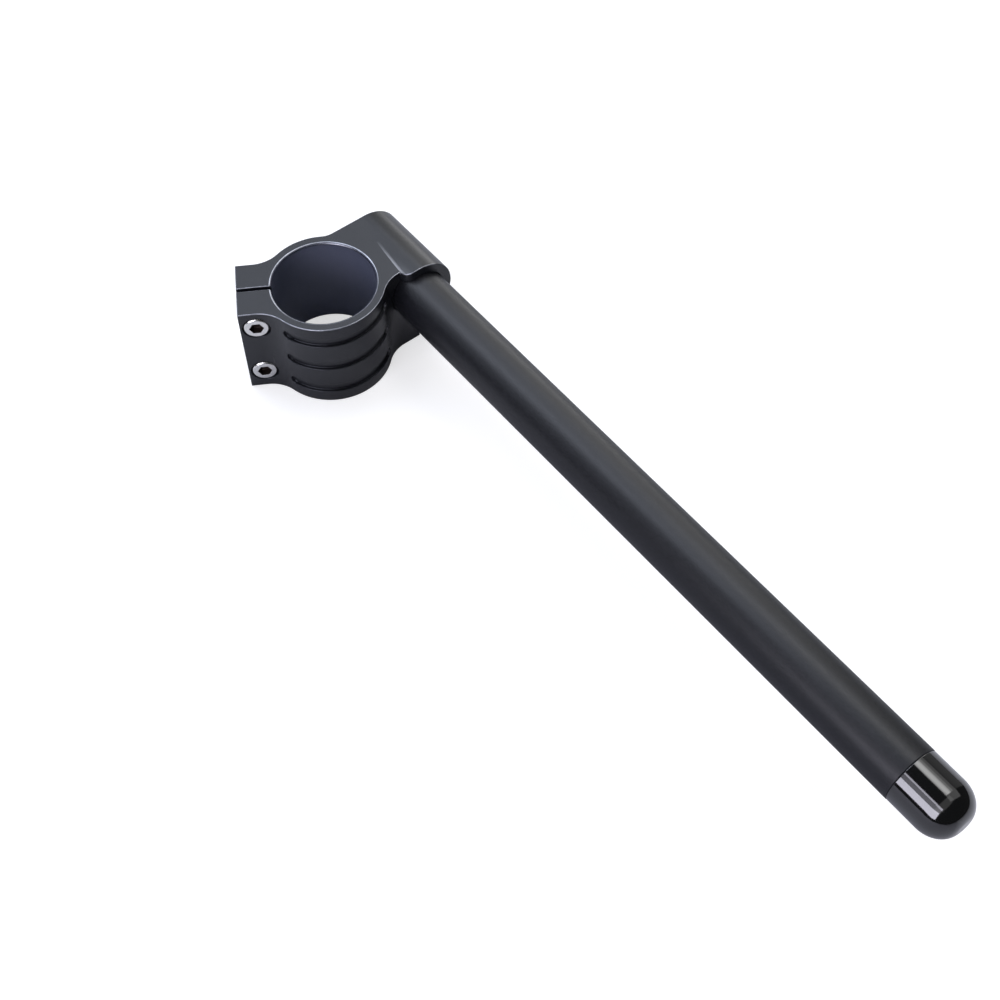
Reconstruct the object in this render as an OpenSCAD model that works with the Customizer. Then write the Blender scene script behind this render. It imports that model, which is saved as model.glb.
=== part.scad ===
// Clip-on handlebar: a split clamp for a fork tube with a bar tube held in its side socket.
// The origin is the middle of the fork bore. +Z runs up the fork.
// The bar leaves the socket towards -Y.

/* [Fork ring] */
// Diameter of the fork tube that the ring clamps
fork_d = 41; // [35:0.5:45]
// Thickness of the ring's wall round the fork
ring_wall = 3.9; // [3:0.1:6]
// Height of the whole clamp along the fork
clamp_h = 44; // [40:1:55]
// Size of the lead-in chamfer at both ends of the fork bore
bore_chamfer = 0.6; // [0.2:0.1:1]

/* [Ring grooves] */
// Number of grooves turned round the ring
groove_count = 3; // [1:1:3]
// Distance between groove centres
groove_pitch = 14.1; // [10:0.1:15]
// Height of one groove
groove_w = 4.3; // [2:0.1:6]
// Depth of the grooves in the ring's wall
groove_depth = 1.2; // [0.4:0.1:1.6]

/* [Pinch ears] */
// Angle of the ears round the fork, from +X towards +Y
ear_angle = 149.3; // [140:0.1:160]
// Wall between a fork clamp screw's counterbore and the ears' outer face
ear_end_wall = 1; // [0.8:0.1:5]
// Thickness across both ears with the slit between them
ear_w = 25.8; // [22:0.1:30]
// Radius of the fillets between the ears and the ring
ear_fillet = 14; // [6:1:18]
// Width of the slit between the ears
fork_slit_w = 1.5; // [1:0.1:3]

/* [Bar socket] */
// Thinnest wall between the fork bore and the bar's socket
socket_wall = 1; // [0.8:0.1:6]
// Rise of the bar towards its tip, in degrees
bar_rise = 2; // [0:0.5:3]
// Thickness of the round hood over the bar
hood_wall = 4; // [3:0.1:6]
// How far the hood's crown stands over the clamp's upper face, level with the fork's axis
hood_rise = 0.7; // [0.7:0.1:2]
// Distance from the fork's axis to the socket's rear face
socket_rear = 19.4; // [17:0.1:22]
// Distance from the fork's axis to the hood's front face
hood_front = 18.5; // [17:0.1:22]
// Distance from the fork's axis to the inner lug's front face
lug_front = 14.2; // [12:0.1:16]
// How far the hood's front reaches inwards past the bar's axis
hood_reach = 6; // [5:0.1:7]
// Radius of the hood's corner in plan, where it passes the inner lug
hood_corner_r = 4; // [2:0.1:4.3]
// Wall between the bar's socket and the outer lug's flat side
flat_wall = 2.65; // [2:0.05:2.9]
// Radius of the fillet between the ring and the socket's front
front_fillet = 14; // [6:1:16]
// Radius of the fillet between the ring and the socket's rear
rear_fillet = 8; // [4:1:12]
// Width of the slit under the bar
bar_slit_w = 2; // [1:0.1:3]
// Distance that the slit lies outwards of the bar's axis
bar_slit_out = 2.2; // [0:0.1:3]

/* [Bar] */
// Outer diameter of the bar
bar_d = 22.2; // [20:0.1:23]
// Thickness of the bar's wall
bar_wall = 3.2; // [2:0.1:4]
// Distance from the fork's axis to the seam of the end plug, along the bar
bar_reach = 285; // [200:1:320]
// Distance that the bar's inner end stays inside the socket's rear face
bar_end_inset = 1.2; // [0.5:0.1:4]
// Gap all round between the bar and the socket before it is clamped
bar_gap = 0.05; // [0.02:0.01:0.1]

/* [End plug] */
// Length of the plug's straight part beyond the bar
plug_straight = 12.5; // [4:0.5:25]
// Length of the plug's round nose
plug_nose = 10.4; // [6:0.1:14]
// Radius of the flat on the plug's nose
plug_flat_r = 2.4; // [1:0.1:5]
// How much smaller the plug's radius is than the bar's
plug_step = 0.1; // [0.05:0.05:0.5]
// Length of the stem pushed into the bar
stem_l = 22; // [10:1:40]
// Gap all round between the stem and the bar's bore
stem_gap = 0.05; // [0.02:0.01:0.2]
// Depth of the two rings cut in the stem
stem_ring_depth = 0.6; // [0.3:0.1:1]

/* [Clamp screws] */
// Thread diameter of all four screws
screw_d = 6; // [5:1:6]
// Head diameter
head_d = 10; // [8.5:0.1:10]
// Head height
head_h = 6; // [5:0.1:6]
// Distance across the flats of the hexagon socket
socket_af = 5; // [4:0.5:5]
// Depth of the hexagon socket
socket_depth = 3; // [2:0.1:3.5]
// Gap all round a screw's head in its counterbore
head_gap = 0.5; // [0.3:0.1:0.6]
// Gap all round a screw's shank in its clearance hole
shank_gap = 0.3; // [0.1:0.1:0.5]
// Gap all round a screw's thread in its tapped hole
thread_gap = 0.03; // [0.02:0.01:0.1]
// How far the fork clamp screws' heads stand proud of the ear
head_proud = 0.3; // [0:0.1:1]
// How far the bar clamp screws' heads lie below the flat side
head_sunk = 0.6; // [0.2:0.1:1.5]
// Shank length of the fork clamp screws
fork_screw_l = 18; // [14:1:20]
// Shank length of the bar clamp screws
bar_screw_l = 16; // [14:1:17]
// Wall between the fork bore and the fork clamp screws' clearance holes
fork_screw_wall = 3.9; // [2:0.1:6]
// Distance from the clamp's upper face to the upper fork clamp screw
fork_screw_top = 8.3; // [7:0.1:12]
// Distance from the clamp's lower face to the lower fork clamp screw
fork_screw_bottom = 9.3; // [7:0.1:12]
// Height of the bar clamp screws over the clamp's lower face
bar_screw_height = 8.5; // [7:0.1:11]
// Place of the front bar clamp screw along the bar, from the fork's axis
bar_screw_front = 8.2; // [7:0.1:10]
// Place of the rear bar clamp screw along the bar, from the fork's axis
bar_screw_rear = 10.6; // [9:0.1:12]

/* [Hidden] */
$fn = 96;

bore_r = fork_d / 2;
ring_r = bore_r + ring_wall;
bar_r = bar_d / 2;
socket_r = bar_r + bar_gap;
hood_r = socket_r + hood_wall;
outer_flat = socket_r + flat_wall;
// Places of the bar's axis, the slit and the outer flat side across the clamp
bar_offset = bore_r + socket_wall + socket_r;
slit_x = bar_offset + bar_slit_out;
flat_x = bar_offset + outer_flat;
// Heights of the clamp's two faces and of the bar's axis over the middle of the fork bore
upper = clamp_h / 2;
lower = -clamp_h / 2;
bar_height = upper + hood_rise - hood_r;
screw_r = screw_d / 2;
head_r = head_d / 2;
clear_r = screw_r + shank_gap;
counterbore_r = head_r + head_gap;
// Distances from the fork's axis to its clamp screws and to the ears' outer face
fork_screw_reach = bore_r + fork_screw_wall + clear_r;
ear_reach = fork_screw_reach + counterbore_r + ear_end_wall;
// Overshoot of a solid past the face that it cuts or joins
over = 1;
// Length that spans the whole clamp, for its cutting solids
span = 4 * ring_r + 2 * ear_reach;
// Depth to which the fillets and the grooves' round ends run into the faces that they join
bite = 0.005;
// The grooves run from the ear's front fillet to the socket's front fillet
groove_from = ear_angle + fillet_angle(ear_w / 2, ear_fillet);
groove_to = 360 - fillet_angle(lug_front, front_fillet);

clamp_black = [0.17, 0.175, 0.19];
bar_black = [0.13, 0.13, 0.14];
plug_black = [0.05, 0.05, 0.055];
bright_steel = [0.8, 0.8, 0.78];

// Where the screws' heads are seated: across the ears, and across the clamp
fork_seat = ear_w / 2 + head_proud - head_h;
bar_seat = flat_x - head_sunk - head_h;

// Turns a child from the ears' frame, with +X out of the ring, into the part's frame.
module at_ears() {
    rotate([0, 0, ear_angle]) children();
}

// Lays a child with its +Z along the bar towards the tip, from level with the fork's axis.
module along_bar() {
    translate([bar_offset, 0, bar_height]) rotate([90 - bar_rise, 0, 0]) children();
}

// Centre of the fillet of radius r between the ring and a face at the distance `face` from +X.
function fillet_centre(face, r) = let (y = face + r - bite)
    [sqrt(pow(ring_r + r - bite, 2) - pow(y, 2)), y];

// Angle from +X at which that fillet meets the ring.
function fillet_angle(face, r) = let (c = fillet_centre(face, r)) atan2(c[1], c[0]);

// The concave fillet itself, filled back to the ring's axis.
module fillet_fill(face, r) {
    centre = fillet_centre(face, r);
    difference() {
        polygon([[0, 0], [centre[0], 0], centre]);
        translate(centre) circle(r);
    }
}

// The clamp's outline in plan, with the ears but without the hood's overhang.
module plan_outline() {
    circle(ring_r);
    rotate(ear_angle) {
        translate([0, -ear_w / 2]) square([ear_reach, ear_w]);
        fillet_fill(ear_w / 2, ear_fillet);
        mirror([0, 1]) fillet_fill(ear_w / 2, ear_fillet);
    }
    translate([0, -lug_front]) square([bar_offset, lug_front + socket_rear]);
    fillet_fill(socket_rear, rear_fillet);
    mirror([0, 1]) fillet_fill(lug_front, front_fillet);
}

// The hood's outline in plan, with its corner rounded where it passes the inner lug.
module hood_plan() {
    edge = bar_offset - hood_reach;
    translate([edge, hood_corner_r - hood_front])
        square([span, hood_front - hood_corner_r + socket_rear]);
    translate([edge + hood_corner_r, -hood_front])
        square([span, hood_front + socket_rear]);
    translate([edge + hood_corner_r, hood_corner_r - hood_front]) circle(hood_corner_r);
}

// The round hood, the foot of the inner lug up to the slit, and the outer lug with its flat side.
module hood_and_lugs() {
    intersection() {
        along_bar() cylinder(r = hood_r, h = span, center = true);
        linear_extrude(2 * clamp_h, center = true) hood_plan();
    }
    translate([bar_offset - over, -lug_front, lower])
        cube([over + bar_slit_out, lug_front + socket_rear, bar_height - lower]);
    translate([slit_x, -hood_front, lower])
        cube([flat_x - slit_x, hood_front + socket_rear, bar_height - lower]);
}

// One screw's path through the clamp, with the head's seat in the XY plane and +Z out of the head.
module screw_cut(clear_l, hole_l) {
    cylinder(r = counterbore_r, h = span / 4);
    translate([0, 0, -clear_l]) cylinder(r = clear_r, h = clear_l + over);
    translate([0, 0, -hole_l]) cylinder(r = screw_r + thread_gap, h = hole_l);
}

// A hexagon socket screw with its head's seat in the XY plane.
module socket_screw(shank_l) {
    edge = 0.5;
    difference() {
        rotate_extrude() polygon([
            [0, -shank_l], [screw_r - edge, -shank_l], [screw_r, edge - shank_l], [screw_r, 0],
            [head_r, 0], [head_r, head_h - edge], [head_r - edge, head_h], [0, head_h]
        ]);
        translate([0, 0, head_h - socket_depth])
            cylinder(r = socket_af / sqrt(3), h = socket_depth + over, $fn = 6);
    }
}

// Puts a child at a fork clamp screw's seat: 0 is the upper one, 1 is the lower one.
module at_fork_screw(index) {
    z = index == 0 ? upper - fork_screw_top : lower + fork_screw_bottom;
    at_ears() translate([fork_screw_reach, fork_seat, z]) rotate([-90, 0, 0]) children();
}

// Puts a child at a bar clamp screw's seat, at place `y` along the bar.
module at_bar_screw(y) {
    translate([bar_seat, y, lower + bar_screw_height]) rotate([0, 90, 0]) children();
}

// The lead-in chamfer at one end of the fork bore.
module bore_edge() {
    rotate_extrude() polygon([
        [0, -bore_chamfer], [bore_r, -bore_chamfer], [bore_r + bore_chamfer, 0],
        [bore_r + bore_chamfer, over], [0, over]
    ]);
}

// One groove of the ring, centred on the height z, with round ends.
module groove(z) {
    round_angle = asin(groove_w / 2 / ring_r);
    first = groove_from + round_angle;
    last = groove_to - round_angle;
    translate([0, 0, z]) {
        rotate([0, 0, first]) rotate_extrude(angle = last - first)
            translate([ring_r - groove_depth, -groove_w / 2]) square([groove_depth + ring_wall, groove_w]);
        for (middle = [first, last])
            rotate([0, 90, middle]) translate([0, 0, ring_r - groove_depth - bite])
                cylinder(r = groove_w / 2 + bite, h = groove_depth + ring_wall);
    }
}

// The clamp: ring, ears, hood and both lugs, machined from one block.
module clamp_body() {
    color(clamp_black) difference() {
        union() {
            linear_extrude(clamp_h, center = true) plan_outline();
            hood_and_lugs();
        }
        cylinder(r = bore_r, h = clamp_h + 2 * over, center = true);
        translate([0, 0, upper]) bore_edge();
        mirror([0, 0, 1]) translate([0, 0, upper]) bore_edge();
        for (index = [0 : groove_count - 1])
            groove((index - (groove_count - 1) / 2) * groove_pitch);
        at_ears() translate([0, -fork_slit_w / 2, lower - over])
            cube([ear_reach + over, fork_slit_w, clamp_h + 2 * over]);
        along_bar() cylinder(r = socket_r, h = span, center = true);
        translate([slit_x - bar_slit_w / 2, -span / 2, lower - over])
            cube([bar_slit_w, span, bar_height - lower + over]);
        at_fork_screw(0) screw_cut(fork_seat + fork_slit_w / 2, span / 2);
        at_fork_screw(1) screw_cut(fork_seat + fork_slit_w / 2, span / 2);
        at_bar_screw(-bar_screw_front) screw_cut(bar_seat - slit_x, bar_screw_l + over);
        at_bar_screw(bar_screw_rear) screw_cut(bar_seat - slit_x, bar_screw_l + over);
    }
}

// The bar: a plain drawn tube.
module handlebar_tube() {
    inner_end = socket_rear - bar_end_inset;
    color(bar_black) along_bar() translate([0, 0, -inner_end]) difference() {
        cylinder(r = bar_r, h = bar_reach + inner_end);
        translate([0, 0, -over]) cylinder(r = bar_r - bar_wall, h = bar_reach + inner_end + 2 * over);
    }
}

// The round-nosed plug that closes the bar's tip, with its stem inside the bar.
module bar_end_plug() {
    plug_r = bar_r - plug_step;
    stem_r = bar_r - bar_wall - stem_gap;
    ring_at = stem_l / 4;
    nose_r = plug_r - plug_flat_r;
    steps = 16;
    nose = [for (k = [0 : steps]) let (a = 90 * k / steps)
        [plug_flat_r + nose_r * cos(a), plug_straight + plug_nose * sin(a)]];
    color(plug_black) along_bar() translate([0, 0, bar_reach]) rotate_extrude() polygon(concat([
        [0, -stem_l], [stem_r - stem_ring_depth, -stem_l], [stem_r, stem_ring_depth - stem_l],
        [stem_r, -3 * ring_at], [stem_r - stem_ring_depth, -3 * ring_at],
        [stem_r - stem_ring_depth, -2.5 * ring_at], [stem_r, -2.5 * ring_at],
        [stem_r, -1.5 * ring_at], [stem_r - stem_ring_depth, -1.5 * ring_at],
        [stem_r - stem_ring_depth, -ring_at], [stem_r, -ring_at],
        [stem_r, 0], [plug_r, 0]
    ], nose, [[0, plug_straight + plug_nose]]));
}

module fork_clamp_screw_upper() {
    color(bright_steel) at_fork_screw(0) socket_screw(fork_screw_l);
}

module fork_clamp_screw_lower() {
    color(bright_steel) at_fork_screw(1) socket_screw(fork_screw_l);
}

module bar_clamp_screw_front() {
    color(bright_steel) at_bar_screw(-bar_screw_front) socket_screw(bar_screw_l);
}

module bar_clamp_screw_rear() {
    color(bright_steel) at_bar_screw(bar_screw_rear) socket_screw(bar_screw_l);
}

clamp_body();
handlebar_tube();
bar_end_plug();
fork_clamp_screw_upper();
fork_clamp_screw_lower();
bar_clamp_screw_front();
bar_clamp_screw_rear();
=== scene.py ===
"""Clip-on handlebar: the looks of the clamp, the bar, its end plug and the four screws."""

import math

import bmesh
import bpy
from mathutils import Matrix, Vector

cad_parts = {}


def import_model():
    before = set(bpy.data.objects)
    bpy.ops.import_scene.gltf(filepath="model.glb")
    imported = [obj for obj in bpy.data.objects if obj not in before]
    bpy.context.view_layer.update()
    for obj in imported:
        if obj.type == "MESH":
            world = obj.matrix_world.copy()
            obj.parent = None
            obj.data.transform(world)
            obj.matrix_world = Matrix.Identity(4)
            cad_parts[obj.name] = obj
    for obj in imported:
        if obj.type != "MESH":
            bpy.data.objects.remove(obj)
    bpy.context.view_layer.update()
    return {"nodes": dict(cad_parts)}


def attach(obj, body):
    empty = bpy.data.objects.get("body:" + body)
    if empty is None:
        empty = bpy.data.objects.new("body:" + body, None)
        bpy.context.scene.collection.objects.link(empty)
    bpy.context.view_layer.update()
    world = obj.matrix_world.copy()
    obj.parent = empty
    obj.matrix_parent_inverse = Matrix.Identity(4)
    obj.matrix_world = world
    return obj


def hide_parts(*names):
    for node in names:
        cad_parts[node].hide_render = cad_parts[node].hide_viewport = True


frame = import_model()
nodes = frame["nodes"]

MM = 0.001

# Camera: its place in metres, right and up directions, focal length and sensor in mm, clips in metres
CAMERA_AT = Vector((-0.19657, -0.36588, 0.48879))
CAMERA_RIGHT = Vector((0.78924, -0.61408, -0.00146))
CAMERA_UP = Vector((0.51337, 0.6585, 0.5503))
CAMERA_LENS = 56.74
CAMERA_SENSOR = 36
CAMERA_CLIP = (0.01, 100)

# Widths of the small bevels that catch the light, and how they are made
CLAMP_BEVEL = 0.28 * MM
SCREW_BEVEL = 0.12 * MM
SEAM_BEVEL = 0.3 * MM
BEVEL_SEGMENTS = 2
FLAT_WEIGHT = 80
# Vertices of a node closer than this are joined before it is bevelled
JOIN_WITHIN = 0.16 * MM
# Faces that meet at less than this angle, in degrees, become one flat face
FLAT_ANGLE = 0.4
# Faces that meet at more than this angle, in degrees, have a bevel between them
SHARP_ANGLE = 28

# Radius of a screw's hexagon socket, and the depths below the head's top between which it lies
SOCKET_RADIUS = 2.95 * MM
SOCKET_START = 0.05 * MM
SOCKET_END = 3.2 * MM
# The way out of each screw's head
EAR_TURN = math.radians(239.3)
EAR_WAY = Vector((math.cos(EAR_TURN), math.sin(EAR_TURN), 0))
SCREW_WAYS = {
    "fork_clamp_screw_upper": EAR_WAY,
    "fork_clamp_screw_lower": EAR_WAY,
    "bar_clamp_screw_front": Vector((1, 0, 0)),
    "bar_clamp_screw_rear": Vector((1, 0, 0)),
}

# Base colours, linear
CLAMP_BLACK = (0.0095, 0.0105, 0.0135)
# The bore's paler machined wall, lifted further as painted bounce light from the floor below
BORE_TONE_AND_BOUNCE = (0.1, 0.11, 0.155)
# Edge colour: partly rubbed metal, partly a painted highlight on the upper edges
EDGE_WORN_AND_HIGHLIGHT = (0.42, 0.43, 0.47)
EDGE_DARK = (0.05, 0.052, 0.058)
# Colour of the painted highlight along the hood's crease
CREASE_HIGHLIGHT = (0.3, 0.31, 0.33)
BAR_BLACK = (0.0055, 0.0058, 0.0082)
PLUG_BLACK = (0.002, 0.002, 0.0022)
STEEL = (0.86, 0.85, 0.82)
# Painted shade inside the screws' hexagon sockets
SOCKET_PAINTED_SHADE = (0.11, 0.09, 0.08)

# How much darker and lighter a material's colour gets with its noise
CLAMP_SHADES = (0.85, 1.2)
BAR_SHADES = (0.75, 1.35)
STEEL_SHADES = (0.9, 1.08)

# Ranges of roughness, the steel's as shares of its own
CLAMP_ROUGH = (0.25, 0.36)
EDGE_ROUGH = (0.22, 0.4)
BAR_ROUGH = (0.35, 0.47)
PLUG_ROUGH = (0.05, 0.12)
PLUG_COAT_ROUGH = 0.03
STEEL_ROUGH = 0.2
SOCKET_ROUGH = 0.4
STEEL_ROUGH_SHARES = (0.75, 1.4)

# Strength of each bump, and its height in metres
CLAMP_BUMP = (0.12, 0.00004)
BAR_BUMP = (0.22, 0.00005)
PLUG_BUMP = (0.05, 0.00008)
STEEL_BUMP = (0.08, 0.00003)

# Each noise: features a metre, detail, and how it is squeezed along each axis where it is
CLAMP_GRAIN = (9000, 3.0)
CLAMP_LINES = (1, 2.0, (60, 60, 9000))
CLAMP_CLOUD = (60, 3.0)
EDGE_RUBS = (260, 3.0)
BAR_GRAIN = (5500, 3.0)
BAR_MOTTLE = (1300, 4.0, (1, 0.7, 1))
PLUG_RIPPLE = (220, 1.0)
PLUG_DUST = (2500, 3.0)
STEEL_GRAIN = (4200, 3.0)
# The part of a noise's values that is used, and of the bar's two noises added up
NOISE_USED = (0.3, 0.7)
BAR_NOISE_USED = (0.75, 1.25)

# The bore's wall lies within this distance of the fork's axis, and its colour ends over a short way
BORE_WITHIN = 20.8 * MM
BORE_FADE = 0.1 * MM
# The edges' paleness, partly wear and partly a painted highlight on the upper edges, starts and is full
# at these heights
WEAR_AND_HIGHLIGHT_FROM = 20.6 * MM
WEAR_AND_HIGHLIGHT_FULL = 21.5 * MM
# The least share of that paleness, left by the random rubs
WEAR_LEAST = 0.5

# The round hood over the bar: its radius, where its axis lies across the clamp, how deep that axis
# lies below the flat top at Y = 0, and how it rises towards the tip
HOOD_RADIUS = 15.15 * MM
HOOD_X = 32.65 * MM
HOOD_DEPTH = 14.45 * MM
HOOD_RISE = math.radians(2)
# A highlight is painted along the crease where the hood leaves the flat top. Across it, in X from the
# place where the two meet, that painted line starts, is full, fades and ends
CREASE_X = (-0.15 * MM, 0, 0.1 * MM, 1.1 * MM)
# Where it starts and is full in Y and in Z
CREASE_Y = (5 * MM, -9 * MM)
CREASE_Z = (21.8 * MM, 21.95 * MM)

# The floor lies at the clamp's lower face
FLOOR_Z = -22 * MM
FLOOR_SIZE = 12
# Its own glow near the object and far away, and the distances between which it grows
FLOOR_GLOW = (0.62, 1.0)
GLOW_GROWS = (0.4, 1.3)
# Its shades as the camera and as reflections see them
FLOOR_SEEN = (0.62, 0.62, 0.62)
FLOOR_REFLECTED = (0.66, 0.66, 0.68)
# Reflections see it darker to the left of the bar: that shade, and where it starts and is full
FLOOR_BESIDE = (0.42, 0.42, 0.45)
BESIDE_X = (60 * MM, 30 * MM)
BESIDE_Y = (-40 * MM, -80 * MM)
# The surround as reflections see it
SURROUND = (0.92, 0.96, 1)
SURROUND_STRENGTH = 0.04

# What the lights are aimed at, and their colours
LIT_CENTRE = Vector((0.03, -0.12, 0.0))
WHITE = (1, 1, 1)
COOL = (0.86, 0.92, 1.06)
COOLER = (0.86, 0.92, 1.08)
VIOLET = (0.88, 0.87, 1)
# Each light: angle round the bar from +X in degrees, share along +Y, distance, size round the bar
# and along it, radiance and colour
LIGHTS = {
    "top": (86, 0.54, 1.2, 1.25, 0.85, 1.8, COOL),
    "top_core": (103, 0.56, 1.15, 0.45, 0.8, 1.8, COOLER),
    "left": (138, 0.56, 1.1, 0.35, 0.4, 0.9, COOLER),
    "top_tip": (62, -0.12, 1.2, 0.95, 1.0, 0.45, WHITE),
    "top_tip_middle": (67, 0.08, 1.17, 0.62, 0.6, 0.55, WHITE),
    "top_tip_core": (71, 0.08, 1.14, 0.42, 0.6, 1.2, WHITE),
    "top_tip_heart": (71, 0.08, 1.1, 0.24, 0.6, 0.8, WHITE),
    "right_tip": (15, 0.08, 1.2, 1.0, 0.6, 0.15, WHITE),
    "right": (32, 0.47, 1.1, 0.95, 0.6, 1.7, WHITE),
    "rim": (0, 0.58, 1.1, 0.5, 0.4, 1.5, WHITE),
    "strip_outer": (156, -0.25, 1.0, 0.46, 0.7, 4.9, VIOLET),
    "strip_gap": (136, -0.25, 1.02, 0.24, 0.7, 1.0, VIOLET),
    "strip_inner": (125, -0.25, 1.0, 0.12, 0.7, 3.0, VIOLET),
    "front": (112, -0.45, 1.1, 1.7, 0.4, 0.25, WHITE),
}


def material(name, metallic):
    """A material with its shader."""
    mat = bpy.data.materials.new(name)
    mat.use_nodes = True
    shader = mat.node_tree.nodes["Principled BSDF"]
    shader.inputs["Metallic"].default_value = metallic
    return mat, shader


def add(mat, kind, **values):
    """A node of a kind with its properties set."""
    node = mat.node_tree.nodes.new(kind)
    for key, value in values.items():
        setattr(node, key, value)
    return node


def link(mat, a, b):
    """Joins two sockets."""
    mat.node_tree.links.new(a, b)


def feed(mat, value, socket):
    """Gives a socket the value of another one, a colour or a number."""
    if isinstance(value, bpy.types.NodeSocket):
        link(mat, value, socket)
    elif isinstance(value, tuple):
        socket.default_value = (*value, 1)
    else:
        socket.default_value = value


def reckon(mat, operation, a, b=0.0, c=0.0):
    """The result of a math node, whose inputs are sockets or numbers."""
    node = add(mat, "ShaderNodeMath", operation=operation)
    for socket, value in zip(node.inputs, (a, b, c)):
        feed(mat, value, socket)
    return node.outputs["Value"]


def blend(mat, share, a, b):
    """A colour between two, which are sockets or colours, by a share from 0 to 1."""
    node = add(mat, "ShaderNodeMix", data_type="RGBA")
    feed(mat, share, node.inputs["Factor"])
    feed(mat, a, node.inputs["A"])
    feed(mat, b, node.inputs["B"])
    return node.outputs["Result"]


def spread(mat, value, to, used=NOISE_USED):
    """Maps the used part of a value's range to another range."""
    node = add(mat, "ShaderNodeMapRange")
    node.inputs["From Min"].default_value = used[0]
    node.inputs["From Max"].default_value = used[1]
    node.inputs["To Min"].default_value = to[0]
    node.inputs["To Max"].default_value = to[1]
    link(mat, value, node.inputs["Value"])
    return node.outputs["Result"]


def object_coords(mat, scale=(1, 1, 1)):
    """The row's own coordinates, scaled along each axis."""
    coords = add(mat, "ShaderNodeTexCoord")
    mapping = add(mat, "ShaderNodeMapping")
    mapping.inputs["Scale"].default_value = scale
    link(mat, coords.outputs["Object"], mapping.inputs["Vector"])
    return mapping.outputs["Vector"]


def object_axes(mat):
    """The row's own X, Y and Z."""
    axes = add(mat, "ShaderNodeSeparateXYZ")
    link(mat, object_coords(mat), axes.inputs["Vector"])
    return tuple(axes.outputs[name] for name in "XYZ")


def axis_distance(mat):
    """The distance from the fork's axis."""
    reach = add(mat, "ShaderNodeVectorMath", operation="LENGTH")
    link(mat, object_coords(mat, (1, 1, 0)), reach.inputs[0])
    return reach.outputs["Value"]


def noise(mat, scale, detail, squeeze=(1, 1, 1)):
    """Noise of a scale in features a metre."""
    node = add(mat, "ShaderNodeTexNoise")
    node.inputs["Scale"].default_value = scale
    node.inputs["Detail"].default_value = detail
    link(mat, object_coords(mat, squeeze), node.inputs["Vector"])
    return node.outputs["Fac"]


def bump(mat, shader, height, strength, distance):
    """Bump on a shader from a height value."""
    node = add(mat, "ShaderNodeBump")
    node.inputs["Strength"].default_value = strength
    node.inputs["Distance"].default_value = distance
    link(mat, height, node.inputs["Height"])
    link(mat, node.outputs["Normal"], shader.inputs["Normal"])


def mottled(mat, value, colour, shades):
    """A colour that a noise makes darker and lighter."""
    dark, light = (tuple(c * by for c in colour) for by in shades)
    return blend(mat, spread(mat, value, (0, 1)), dark, light)


def bore_mask(mat):
    """1 on the fork bore's wall and 0 elsewhere on the clamp."""
    return spread(mat, axis_distance(mat), (1, 0), (BORE_WITHIN, BORE_WITHIN + BORE_FADE))


def crease_highlight_mask(mat):
    """1 along the crease between the clamp's flat top and the hood, where a highlight is painted, and
    fading up the hood's side.
    """
    x, y, z = object_axes(mat)
    depth = reckon(mat, "MULTIPLY_ADD", y, math.tan(HOOD_RISE), HOOD_DEPTH)
    square = reckon(mat, "SUBTRACT", HOOD_RADIUS * HOOD_RADIUS, reckon(mat, "MULTIPLY", depth, depth))
    beyond = reckon(mat, "ADD", reckon(mat, "SUBTRACT", x, HOOD_X), reckon(mat, "SQRT", square))
    line = reckon(mat, "MULTIPLY", spread(mat, beyond, (0, 1), CREASE_X[:2]),
                  spread(mat, beyond, (1, 0), CREASE_X[2:]))
    highlight_span = reckon(mat, "MULTIPLY", spread(mat, y, (0, 1), CREASE_Y), spread(mat, z, (0, 1), CREASE_Z))
    return reckon(mat, "MULTIPLY", line, highlight_span)


def clamp_material():
    """Black anodised aluminium: satin, with turning lines, a grain, a paler bore with painted bounce
    light, and a painted highlight along the crease.
    """
    mat, shader = material("clamp_anodised", 0.0)
    grain = noise(mat, *CLAMP_GRAIN)
    lines = noise(mat, *CLAMP_LINES)
    cloud = noise(mat, *CLAMP_CLOUD)
    # The bore's paler colour is partly its machined wall and partly painted bounce light
    walls = blend(mat, bore_mask(mat), mottled(mat, cloud, CLAMP_BLACK, CLAMP_SHADES), BORE_TONE_AND_BOUNCE)
    # Painted highlight: a pale line along the crease between the flat top and the hood
    link(mat, blend(mat, crease_highlight_mask(mat), walls, CREASE_HIGHLIGHT), shader.inputs["Base Color"])
    link(mat, spread(mat, grain, CLAMP_ROUGH), shader.inputs["Roughness"])
    bump(mat, shader, reckon(mat, "ADD", grain, lines), *CLAMP_BUMP)
    return mat


def edge_material():
    """Anodising rubbed thin along the clamp's edges, so that the metal shows through, and paler on the
    upper edges as a painted highlight.
    """
    mat, shader = material("clamp_edge_worn_and_highlight", 1.0)
    height = spread(mat, object_axes(mat)[2], (0, 1), (WEAR_AND_HIGHLIGHT_FROM, WEAR_AND_HIGHLIGHT_FULL))
    rubs = spread(mat, noise(mat, *EDGE_RUBS), (WEAR_LEAST, 1))
    wear_and_highlight = reckon(mat, "MULTIPLY", height, rubs)
    link(mat, blend(mat, wear_and_highlight, EDGE_DARK, EDGE_WORN_AND_HIGHLIGHT), shader.inputs["Base Color"])
    link(mat, spread(mat, noise(mat, *CLAMP_GRAIN), EDGE_ROUGH), shader.inputs["Roughness"])
    return mat


def bar_material():
    """Black anodised tube: matte, with a fine blasted grain and a faint mottle."""
    mat, shader = material("bar_anodised", 0.0)
    grain = noise(mat, *BAR_GRAIN)
    mottle = noise(mat, *BAR_MOTTLE)
    link(mat, mottled(mat, mottle, BAR_BLACK, BAR_SHADES), shader.inputs["Base Color"])
    both = reckon(mat, "ADD", grain, mottle)
    link(mat, spread(mat, both, BAR_ROUGH, BAR_NOISE_USED), shader.inputs["Roughness"])
    bump(mat, shader, both, *BAR_BUMP)
    return mat


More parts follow.
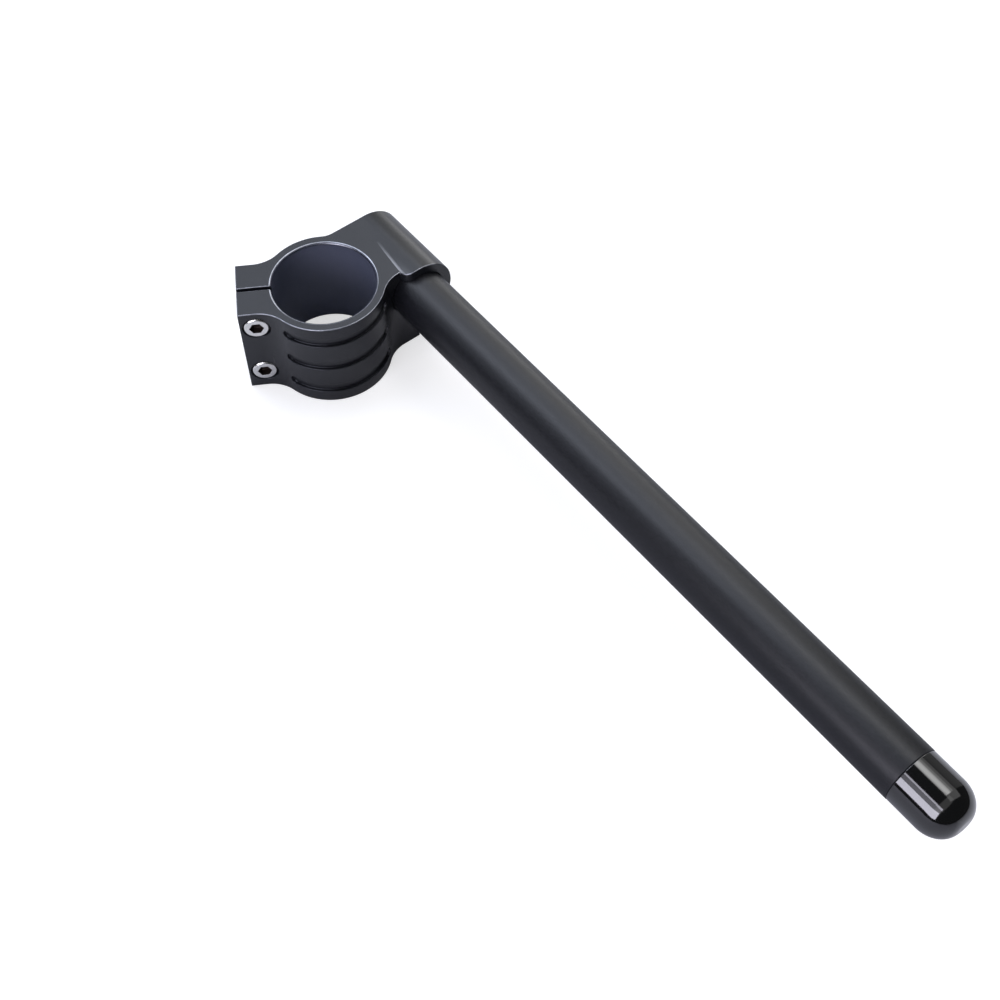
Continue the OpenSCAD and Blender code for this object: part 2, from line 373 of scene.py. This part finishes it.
def plug_material():
    """Gloss black moulding with a faint ripple."""
    mat, shader = material("plug_gloss", 0.0)
    feed(mat, PLUG_BLACK, shader.inputs["Base Color"])
    shader.inputs["Specular IOR Level"].default_value = 1.0
    shader.inputs["Coat Weight"].default_value = 1.0
    shader.inputs["Coat Roughness"].default_value = PLUG_COAT_ROUGH
    link(mat, spread(mat, noise(mat, *PLUG_DUST), PLUG_ROUGH), shader.inputs["Roughness"])
    bump(mat, shader, noise(mat, *PLUG_RIPPLE), *PLUG_BUMP)
    return mat


def steel_material(name, colour, roughness):
    """Stainless steel with fine turning marks."""
    mat, shader = material(name, 1.0)
    grain = noise(mat, *STEEL_GRAIN)
    rough = tuple(share * roughness for share in STEEL_ROUGH_SHARES)
    link(mat, spread(mat, grain, rough), shader.inputs["Roughness"])
    link(mat, mottled(mat, grain, colour, STEEL_SHADES), shader.inputs["Base Color"])
    bump(mat, shader, grain, *STEEL_BUMP)
    return mat


def joined_mesh(name):
    """A node's mesh with its triangles joined into flat faces."""
    mesh = bpy.data.meshes.new(name + "_dressed")
    work = bmesh.new()
    work.from_mesh(nodes[name].data)
    bmesh.ops.remove_doubles(work, verts=work.verts, dist=JOIN_WITHIN)
    flat = math.radians(FLAT_ANGLE)
    bmesh.ops.dissolve_limit(work, angle_limit=flat, verts=work.verts, edges=work.edges)
    work.to_mesh(mesh)
    work.free()
    for layer in ("custom_normal", "sharp_face", "sharp_edge"):
        if layer in mesh.attributes:
            mesh.attributes.remove(mesh.attributes[layer])
    mesh.materials.clear()
    for polygon in mesh.polygons:
        polygon.material_index = 0
        polygon.use_smooth = True
    return mesh


def dressed(name, width, mat, edge=None):
    """A bevelled copy of a node that stands for it, so that its edges catch the light."""
    mesh = joined_mesh(name)
    mesh.materials.append(mat)
    if edge:
        mesh.materials.append(edge)
    piece = bpy.data.objects.new(name + "_dressed", mesh)
    bpy.context.scene.collection.objects.link(piece)
    bevel = piece.modifiers.new("edges", "BEVEL")
    bevel.width = width
    bevel.segments = BEVEL_SEGMENTS
    bevel.limit_method = "ANGLE"
    bevel.angle_limit = math.radians(SHARP_ANGLE)
    bevel.use_clamp_overlap = False
    if edge:
        bevel.material = 1
    normals = piece.modifiers.new("normals", "WEIGHTED_NORMAL")
    normals.weight = FLAT_WEIGHT
    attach(piece, "root")
    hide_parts(name)
    return piece


def dark_socket(piece, mat):
    """Gives the faces inside a screw's hexagon socket a darker material, as painted shade in the
    recess.
    """
    mesh = piece.data
    mesh.materials.append(mat)
    way = SCREW_WAYS[piece.name.removesuffix("_dressed")]
    top = max(v.co.dot(way) for v in mesh.vertices)
    rim = [v.co for v in mesh.vertices if top - v.co.dot(way) < SOCKET_START]
    middle = sum(rim, Vector()) / len(rim)
    for polygon in mesh.polygons:
        offset = polygon.center - middle
        depth = -offset.dot(way)
        radius = (offset + way * depth).length
        if SOCKET_START < depth < SOCKET_END and radius < SOCKET_RADIUS:
            polygon.material_index = 1


def camera():
    """The camera at the photograph's viewing angle."""
    data = bpy.data.cameras.new("camera")
    data.lens = CAMERA_LENS
    data.sensor_width = CAMERA_SENSOR
    data.clip_start, data.clip_end = CAMERA_CLIP
    cam = bpy.data.objects.new("camera", data)
    bpy.context.scene.collection.objects.link(cam)
    right = CAMERA_RIGHT.normalized()
    up = (CAMERA_UP - right * CAMERA_UP.dot(right)).normalized()
    turn = Matrix((right, up, right.cross(up))).transposed()
    cam.matrix_world = Matrix.Translation(CAMERA_AT) @ turn.to_4x4()
    bpy.context.scene.camera = cam


def floor_shades(mat):
    """The floor's colour in reflections, darker to the left of the bar."""
    x, y = object_axes(mat)[:2]
    beside = reckon(mat, "MULTIPLY", spread(mat, x, (0, 1), BESIDE_X), spread(mat, y, (0, 1), BESIDE_Y))
    return blend(mat, beside, FLOOR_REFLECTED, FLOOR_BESIDE)


def floor():
    """A plain white floor that keeps the object's shadow. Reflections see it darker."""
    bpy.ops.mesh.primitive_plane_add(size=FLOOR_SIZE, location=(0, 0, FLOOR_Z))
    plane = bpy.context.object
    plane.name = "floor"
    mat = bpy.data.materials.new("floor_white")
    mat.use_nodes = True
    mat.node_tree.nodes.clear()
    path = add(mat, "ShaderNodeLightPath")
    glow = add(mat, "ShaderNodeEmission")
    link(mat, spread(mat, axis_distance(mat), FLOOR_GLOW, GLOW_GROWS), glow.inputs["Strength"])
    seen = add(mat, "ShaderNodeBsdfDiffuse")
    feed(mat, FLOOR_SEEN, seen.inputs["Color"])
    reflected = add(mat, "ShaderNodeBsdfDiffuse")
    feed(mat, floor_shades(mat), reflected.inputs["Color"])
    both = add(mat, "ShaderNodeAddShader")
    mix = add(mat, "ShaderNodeMixShader")
    out = add(mat, "ShaderNodeOutputMaterial")
    link(mat, glow.outputs[0], both.inputs[0])
    link(mat, seen.outputs[0], both.inputs[1])
    link(mat, path.outputs["Is Camera Ray"], mix.inputs[0])
    link(mat, reflected.outputs[0], mix.inputs[1])
    link(mat, both.outputs[0], mix.inputs[2])
    link(mat, mix.outputs[0], out.inputs["Surface"])
    plane.data.materials.append(mat)


def softbox(name, around, along, distance, size_round, size_along, radiance, colour):
    """A rectangular light, placed by its angle round the bar from +X and its share along +Y."""
    turn = math.radians(around)
    across = math.sqrt(1 - along * along)
    way = Vector((across * math.cos(turn), along, across * math.sin(turn)))
    data = bpy.data.lights.new(name, "AREA")
    data.shape = "RECTANGLE"
    data.size = size_round
    data.size_y = size_along
    data.energy = radiance * math.pi * size_round * size_along
    data.color = colour
    lamp = bpy.data.objects.new(name, data)
    bpy.context.scene.collection.objects.link(lamp)
    side = Vector((0, 1, 0)).cross(way).normalized()
    facing = Matrix((side, way.cross(side), way)).transposed()
    lamp.matrix_world = Matrix.Translation(LIT_CENTRE + way * distance) @ facing.to_4x4()
    lamp.visible_camera = False


def world():
    """A plain surround: white behind the object, dim in its reflections."""
    surround = bpy.data.worlds.new("surround")
    surround.use_nodes = True
    bpy.context.scene.world = surround
    path = add(surround, "ShaderNodeLightPath")
    dim = surround.node_tree.nodes["Background"]
    feed(surround, SURROUND, dim.inputs["Color"])
    dim.inputs["Strength"].default_value = SURROUND_STRENGTH
    white = add(surround, "ShaderNodeBackground")
    feed(surround, WHITE, white.inputs["Color"])
    mix = add(surround, "ShaderNodeMixShader")
    link(surround, path.outputs["Is Camera Ray"], mix.inputs[0])
    link(surround, dim.outputs[0], mix.inputs[1])
    link(surround, white.outputs[0], mix.inputs[2])
    link(surround, mix.outputs[0], surround.node_tree.nodes["World Output"].inputs["Surface"])
    bpy.context.scene.view_settings.view_transform = "Standard"


clamp_black = clamp_material()
bar_black = bar_material()
plug_black = plug_material()
steel = steel_material("screw_steel", STEEL, STEEL_ROUGH)
# The sockets' steel darkened as painted shade in the recess
socket_shade = steel_material("screw_socket_painted_shade", SOCKET_PAINTED_SHADE, SOCKET_ROUGH)

dressed("clamp_body", CLAMP_BEVEL, clamp_black, edge_material())
dressed("handlebar_tube", SEAM_BEVEL, bar_black)
dressed("bar_end_plug", SEAM_BEVEL, plug_black)
for screw in SCREW_WAYS:
    dark_socket(dressed(screw, SCREW_BEVEL, steel), socket_shade)

camera()
floor()
world()
for light, values in LIGHTS.items():
    softbox(light, *values)
